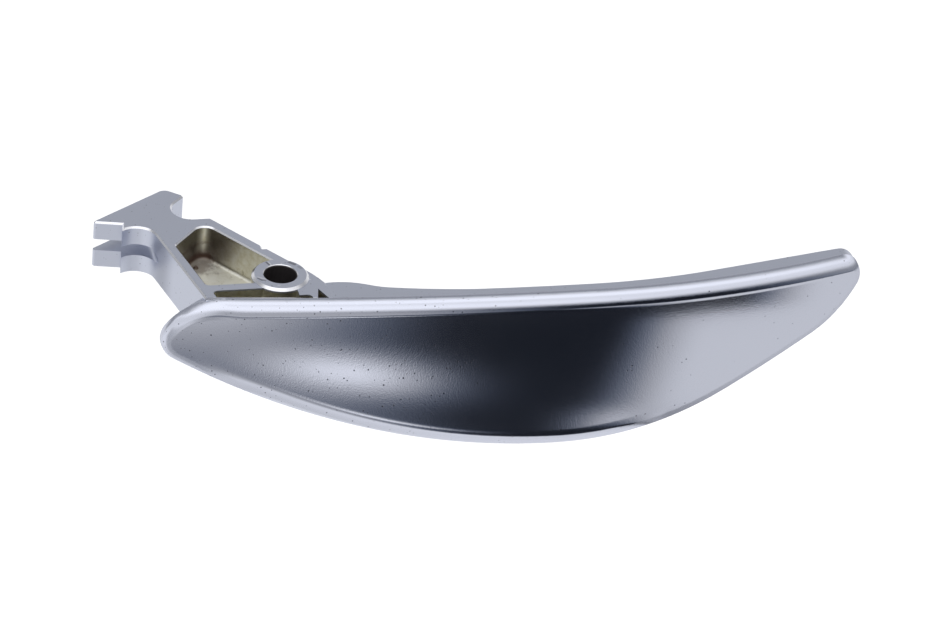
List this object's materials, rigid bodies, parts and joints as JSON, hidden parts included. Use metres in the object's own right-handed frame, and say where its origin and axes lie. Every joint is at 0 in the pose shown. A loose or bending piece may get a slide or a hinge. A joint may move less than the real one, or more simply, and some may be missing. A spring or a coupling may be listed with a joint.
{
  "type": "car interior door handle",
  "caption": "Curved leaf-shaped inner door release lever cast in one piece with a pivot boss, a pocketed arm, a forked cable seat and a hook.",
  "frame": {"origin": "centre of the pivot bore, at half the thickness of the arm", "axes": "+Z along the pivot bore, towards the open side of the pockets; +X along the grip, away from the fork; +Y away from the person who pulls, so the grip's face looks towards -Y"},
  "size_m": [0.1326, 0.0471, 0.0281],
  "materials": {
    "satin_chrome": "satin plating on a zinc casting, smoother on the grip, with small casting pits"
  },
  "bodies": {
    "root": {"lever_casting": "satin_chrome"}
  },
  "joints": []
}
